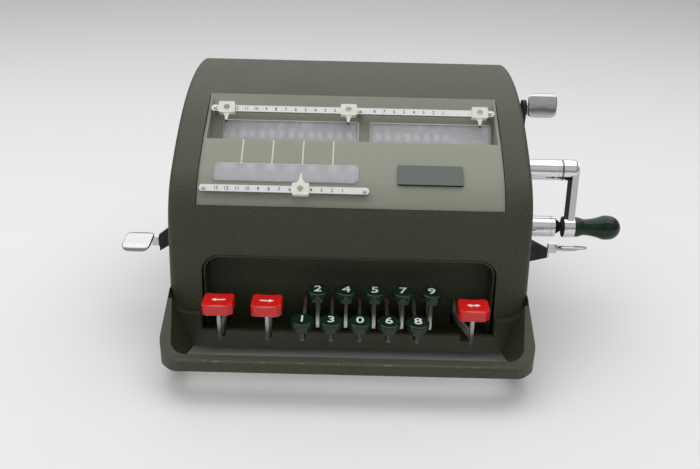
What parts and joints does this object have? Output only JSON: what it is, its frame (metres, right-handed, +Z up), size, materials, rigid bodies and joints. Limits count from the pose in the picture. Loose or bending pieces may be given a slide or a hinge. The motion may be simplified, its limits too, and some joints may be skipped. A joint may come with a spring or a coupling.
{
  "type": "pinwheel calculator",
  "caption": "Desk-top mechanical pinwheel calculating machine with a ten-key keyboard, side crank, clearing levers, number windows and sliding pointers.",
  "frame": {"origin": "on the table plane, in the middle of the area that the whole machine covers, levers and crank handle counted", "axes": "+X to the crank side, +Y to the back, +Z up"},
  "size_m": [0.3494, 0.2354, 0.1643],
  "materials": {
    "crinkle_paint": "dark olive green crinkle paint",
    "panel_paint": "satin grey green paint",
    "dark_sheet": "dark satin paint",
    "rubber": "matt",
    "steel": "plain",
    "chrome": "polished",
    "frosted": "frosted translucent",
    "badge": "gloss enamel",
    "key_green": "gloss",
    "key_red": "gloss",
    "cream": "satin",
    "handle_green": "gloss",
    "numeral_white": "satin",
    "brass": "plain"
  },
  "bodies": {
    "frame": {"base_casting": "crinkle_paint", "bottom_plate": "dark_sheet", "rubber_feet": "rubber", "foot_screws": "steel", "cover": "crinkle_paint", "cover_screws": "steel", "window_panel": "panel_paint", "result_window": "frosted", "counter_window": "frosted", "setting_window": "frosted", "badge_plate": "badge", "rail_posts": "chrome", "rail_screws": "chrome", "upper_rail": "chrome", "lower_rail": "chrome", "keyboard_panel": "dark_sheet", "key_pivot_axle": "steel", "key_springs": "steel", "crank_bush": "chrome", "crank_rest": "chrome", "left_side_plate": "steel", "right_side_plate": "steel", "tie_rods": "steel", "numeral_axle": "steel"},
    "digit_key_0_body": {"digit_key_0": "key_green"},
    "digit_key_1_body": {"digit_key_1": "key_green"},
    "digit_key_2_body": {"digit_key_2": "key_green"},
    "digit_key_3_body": {"digit_key_3": "key_green"},
    "digit_key_4_body": {"digit_key_4": "key_green"},
    "digit_key_5_body": {"digit_key_5": "key_green"},
    "digit_key_6_body": {"digit_key_6": "key_green"},
    "digit_key_7_body": {"digit_key_7": "key_green"},
    "digit_key_8_body": {"digit_key_8": "key_green"},
    "digit_key_9_body": {"digit_key_9": "key_green"},
    "shift_left_key_body": {"shift_left_key": "key_red"},
    "shift_right_key_body": {"shift_right_key": "key_red"},
    "tabulator_key_body": {"tabulator_key": "key_red"},
    "crank": {"crank_arm": "chrome", "crank_shaft": "steel", "crank_handle_pin": "steel", "drive_gear": "steel"},
    "handle": {"crank_handle": "handle_green"},
    "rotor": {"rotor_shaft": "steel", "rotor_gear": "steel"},
    "drum": {"setting_drum": "brass"},
    "setting_clearing_body": {"setting_clearing_lever": "chrome"},
    "result_clearing_body": {"result_clearing_lever": "chrome"},
    "counter_clearing_body": {"counter_clearing_lever": "chrome"},
    "result_register": {"result_wheels": "numeral_white"},
    "counter_register": {"counter_wheels": "numeral_white"},
    "left_pointer_body": {"left_pointer": "cream"},
    "middle_pointer_body": {"middle_pointer": "cream"},
    "right_pointer_body": {"right_pointer": "cream"},
    "setting_pointer_body": {"setting_pointer": "cream"}
  },
  "joints": [
    {"name": "digit_key_0_press", "type": "hinge", "parent": "frame", "child": "digit_key_0_body", "pos_m": [-0.0169, 0.02928, 0.027], "axis": [1, 0, 0], "range_deg": [0, 3], "stiffness_Nm_per_rad": 0.6, "springref_deg": -8.59},
    {"name": "digit_key_1_press", "type": "hinge", "parent": "frame", "child": "digit_key_1_body", "pos_m": [-0.0169, 0.02928, 0.027], "axis": [1, 0, 0], "range_deg": [0, 3], "stiffness_Nm_per_rad": 0.6, "springref_deg": -8.59},
    {"name": "digit_key_2_press", "type": "hinge", "parent": "frame", "child": "digit_key_2_body", "pos_m": [-0.0169, 0.02928, 0.027], "axis": [1, 0, 0], "range_deg": [0, 3], "stiffness_Nm_per_rad": 0.6, "springref_deg": -8.59},
    {"name": "digit_key_3_press", "type": "hinge", "parent": "frame", "child": "digit_key_3_body", "pos_m": [-0.0169, 0.02928, 0.027], "axis": [1, 0, 0], "range_deg": [0, 3], "stiffness_Nm_per_rad": 0.6, "springref_deg": -8.59},
    {"name": "digit_key_4_press", "type": "hinge", "parent": "frame", "child": "digit_key_4_body", "pos_m": [-0.0169, 0.02928, 0.027], "axis": [1, 0, 0], "range_deg": [0, 3], "stiffness_Nm_per_rad": 0.6, "springref_deg": -8.59},
    {"name": "digit_key_5_press", "type": "hinge", "parent": "frame", "child": "digit_key_5_body", "pos_m": [-0.0169, 0.02928, 0.027], "axis": [1, 0, 0], "range_deg": [0, 3], "stiffness_Nm_per_rad": 0.6, "springref_deg": -8.59},
    {"name": "digit_key_6_press", "type": "hinge", "parent": "frame", "child": "digit_key_6_body", "pos_m": [-0.0169, 0.02928, 0.027], "axis": [1, 0, 0], "range_deg": [0, 3], "stiffness_Nm_per_rad": 0.6, "springref_deg": -8.59},
    {"name": "digit_key_7_press", "type": "hinge", "parent": "frame", "child": "digit_key_7_body", "pos_m": [-0.0169, 0.02928, 0.027], "axis": [1, 0, 0], "range_deg": [0, 3], "stiffness_Nm_per_rad": 0.6, "springref_deg": -8.59},
    {"name": "digit_key_8_press", "type": "hinge", "parent": "frame", "child": "digit_key_8_body", "pos_m": [-0.0169, 0.02928, 0.027], "axis": [1, 0, 0], "range_deg": [0, 3], "stiffness_Nm_per_rad": 0.6, "springref_deg": -8.59},
    {"name": "digit_key_9_press", "type": "hinge", "parent": "frame", "child": "digit_key_9_body", "pos_m": [-0.0169, 0.02928, 0.027], "axis": [1, 0, 0], "range_deg": [0, 3], "stiffness_Nm_per_rad": 0.6, "springref_deg": -8.59},
    {"name": "shift_left_key_press", "type": "hinge", "parent": "frame", "child": "shift_left_key_body", "pos_m": [-0.0169, 0.02928, 0.027], "axis": [1, 0, 0], "range_deg": [0, 3], "stiffness_Nm_per_rad": 0.6, "springref_deg": -8.59},
    {"name": "shift_right_key_press", "type": "hinge", "parent": "frame", "child": "shift_right_key_body", "pos_m": [-0.0169, 0.02928, 0.027], "axis": [1, 0, 0], "range_deg": [0, 3], "stiffness_Nm_per_rad": 0.6, "springref_deg": -8.59},
    {"name": "tabulator_key_press", "type": "hinge", "parent": "frame", "child": "tabulator_key_body", "pos_m": [-0.0169, 0.02928, 0.027], "axis": [1, 0, 0], "range_deg": [0, 3], "stiffness_Nm_per_rad": 0.6, "springref_deg": -8.59},
    {"name": "crank_turn", "type": "hinge", "parent": "frame", "child": "crank", "pos_m": [0.1031, 0.01137, 0.1091], "axis": [1, 0, 0], "continuous": true},
    {"name": "handle_spin", "type": "hinge", "parent": "crank", "child": "handle", "pos_m": [0.1581, -0.00566, 0.07258], "axis": [1, 0, 0], "continuous": true},
    {"name": "rotor_turn", "type": "hinge", "parent": "frame", "child": "rotor", "pos_m": [-0.0169, -0.01732, 0.10036], "axis": [1, 0, 0], "continuous": true},
    {"name": "drum_shift", "type": "slide", "parent": "rotor", "child": "drum", "axis": [1, 0, 0], "range_m": [0, 0.05416]},
    {"name": "setting_clearing_pull", "type": "hinge", "parent": "frame", "child": "setting_clearing_body", "pos_m": [-0.0169, 0.01428, 0.105], "axis": [1, 0, 0], "range_deg": [-40, 0], "stiffness_Nm_per_rad": 0.05, "springref_deg": 34.38},
    {"name": "result_clearing_pull", "type": "hinge", "parent": "frame", "child": "result_clearing_body", "pos_m": [-0.0169, 0.03828, 0.104], "axis": [1, 0, 0], "range_deg": [0, 40], "stiffness_Nm_per_rad": 0.05, "springref_deg": -34.38},
    {"name": "counter_clearing_pull", "type": "hinge", "parent": "frame", "child": "counter_clearing_body", "pos_m": [-0.0169, 0.00528, 0.0545], "axis": [1, 0, 0], "range_deg": [0, 40], "stiffness_Nm_per_rad": 0.05, "springref_deg": -34.38},
    {"name": "result_wheels_turn", "type": "hinge", "parent": "frame", "child": "result_register", "pos_m": [-0.0169, 0.01555, 0.12644], "axis": [1, 0, 0], "range_deg": [0, 324]},
    {"name": "counter_wheels_turn", "type": "hinge", "parent": "frame", "child": "counter_register", "pos_m": [-0.0169, 0.01555, 0.12644], "axis": [1, 0, 0], "range_deg": [0, 324]},
    {"name": "left_pointer_slide", "type": "slide", "parent": "frame", "child": "left_pointer_body", "axis": [1, 0, 0], "range_m": [0, 0.03385]},
    {"name": "middle_pointer_slide", "type": "slide", "parent": "frame", "child": "middle_pointer_body", "axis": [1, 0, 0], "range_m": [-0.02708, 0]},
    {"name": "right_pointer_slide", "type": "slide", "parent": "frame", "child": "right_pointer_body", "axis": [1, 0, 0], "range_m": [-0.03385, 0]},
    {"name": "setting_pointer_slide", "type": "slide", "parent": "frame", "child": "setting_pointer_body", "axis": [1, 0, 0], "range_m": [-0.04739, 0.02708]}
  ],
  "couplings": [
    {"joint": "rotor_turn", "follows": "crank_turn", "ratio": -1},
    {"joint": "result_wheels_turn", "follows": "result_clearing_pull", "ratio": 8.1},
    {"joint": "counter_wheels_turn", "follows": "counter_clearing_pull", "ratio": 8.1}
  ]
}
